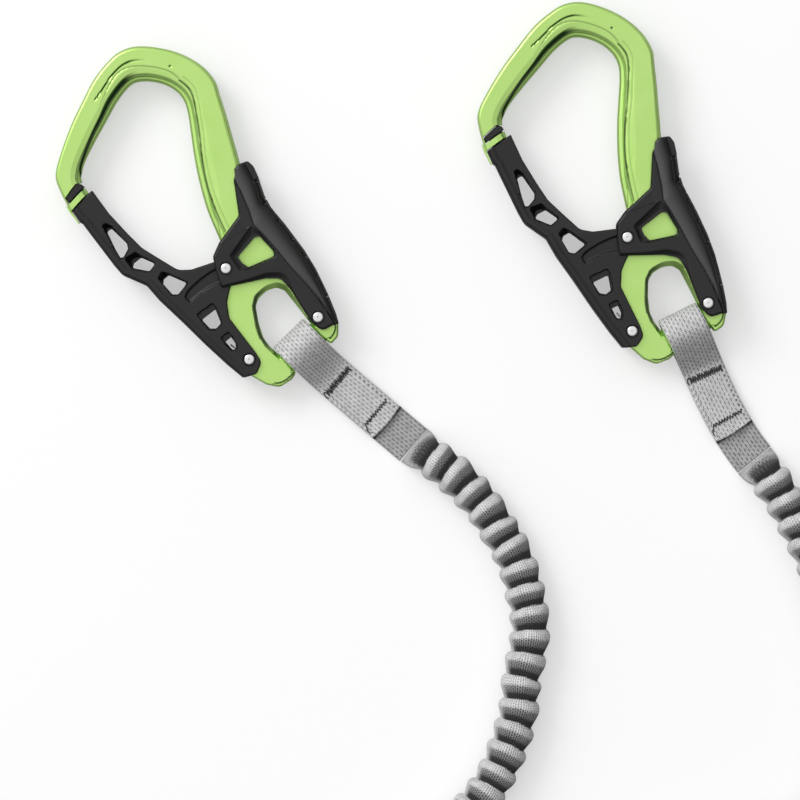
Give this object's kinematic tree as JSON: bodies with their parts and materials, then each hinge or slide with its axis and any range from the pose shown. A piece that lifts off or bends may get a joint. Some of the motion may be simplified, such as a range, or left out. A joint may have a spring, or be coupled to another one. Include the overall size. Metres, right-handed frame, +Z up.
{
  "type": "via ferrata lanyard",
  "caption": "Via ferrata lanyard: squeeze-lever connectors on stitched tapes and elastic arms, joined in a pouched tear-webbing absorber with a tie-in loop.",
  "frame": {"origin": "on the table, under the middle of the box round all pieces but the two elastic arms", "axes": "+Z up from the table; +Y from the absorber to the connectors, up the picture; +X to the picture's right"},
  "size_m": [0.3006, 0.5034, 0.022],
  "materials": {
    "green_aluminium": "satin lime-green anodising on a forged body",
    "black_aluminium": "matt black anodising",
    "grip_nylon": "moulded, ribbed",
    "steel": "bright stainless rivets, pins and springs",
    "webbing": "woven polyester, pale grey and black threads",
    "thread": "black bonded sewing thread",
    "pouch_fabric": "black woven nylon"
  },
  "bodies": {
    "webbing": {"left_tape_loop": "webbing", "left_bar_tack_1": "thread", "left_bar_tack_2": "thread", "left_elastic_arm": "webbing", "right_tape_loop": "webbing", "right_bar_tack_1": "thread", "right_bar_tack_2": "thread", "right_elastic_arm": "webbing", "absorber_pouch": "pouch_fabric", "tear_webbing": "webbing", "arm_yoke": "pouch_fabric", "yoke_tack": "thread", "tie_in_loop": "webbing", "tie_in_tack_1": "thread", "tie_in_tack_2": "thread"},
    "left_connector": {"left_connector_body": "green_aluminium", "left_gate_rivet": "steel", "left_lever_rivet": "steel", "left_gate_spring": "steel", "left_lever_spring": "steel"},
    "left_gate": {"left_gate": "black_aluminium"},
    "left_lever": {"left_squeeze_lever": "black_aluminium", "left_lever_grip": "grip_nylon", "left_upper_lock_pin": "steel", "left_lower_lock_pin": "steel"},
    "right_connector": {"right_connector_body": "green_aluminium", "right_gate_rivet": "steel", "right_lever_rivet": "steel", "right_gate_spring": "steel", "right_lever_spring": "steel"},
    "right_gate": {"right_gate": "black_aluminium"},
    "right_lever": {"right_squeeze_lever": "black_aluminium", "right_lever_grip": "grip_nylon", "right_upper_lock_pin": "steel", "right_lower_lock_pin": "steel"}
  },
  "joints": [
    {"name": "left_lift", "type": "hinge", "parent": "webbing", "child": "left_connector", "pos_m": [-0.04169, 0.12341, 0.0086], "axis": [0.749, 0.6626, 0], "range_deg": [0, 90]},
    {"name": "left_squeeze", "type": "hinge", "parent": "left_connector", "child": "left_lever", "pos_m": [-0.0356, 0.13453, 0.0086], "axis": [0, 0, 1], "range_deg": [0, 5], "stiffness_Nm_per_rad": 1.2, "springref_deg": -5.73, "deforming": ["left_lever_spring"]},
    {"name": "left_gate_swing", "type": "hinge", "parent": "left_connector", "child": "left_gate", "pos_m": [-0.06118, 0.11886, 0.0086], "axis": [0, 0, 1], "range_deg": [-25, 0], "stiffness_Nm_per_rad": 0.05, "springref_deg": 11.46, "deforming": ["left_gate_spring"]},
    {"name": "right_lift", "type": "hinge", "parent": "webbing", "child": "right_connector", "pos_m": [0.10111, 0.13005, 0.0086], "axis": [0.8638, 0.5038, 0], "range_deg": [0, 90]},
    {"name": "right_squeeze", "type": "hinge", "parent": "right_connector", "child": "right_lever", "pos_m": [0.10925, 0.13977, 0.0086], "axis": [0, 0, 1], "range_deg": [0, 5], "stiffness_Nm_per_rad": 1.2, "springref_deg": -5.73, "deforming": ["right_lever_spring"]},
    {"name": "right_gate_swing", "type": "hinge", "parent": "right_connector", "child": "right_gate", "pos_m": [0.08111, 0.12939, 0.0086], "axis": [0, 0, 1], "range_deg": [-25, 0], "stiffness_Nm_per_rad": 0.05, "springref_deg": 11.46, "deforming": ["right_gate_spring"]}
  ],
  "couplings": [
    {"joint": "left_gate_swing", "follows": "left_squeeze", "ratio": -5},
    {"joint": "right_gate_swing", "follows": "right_squeeze", "ratio": -5}
  ]
}
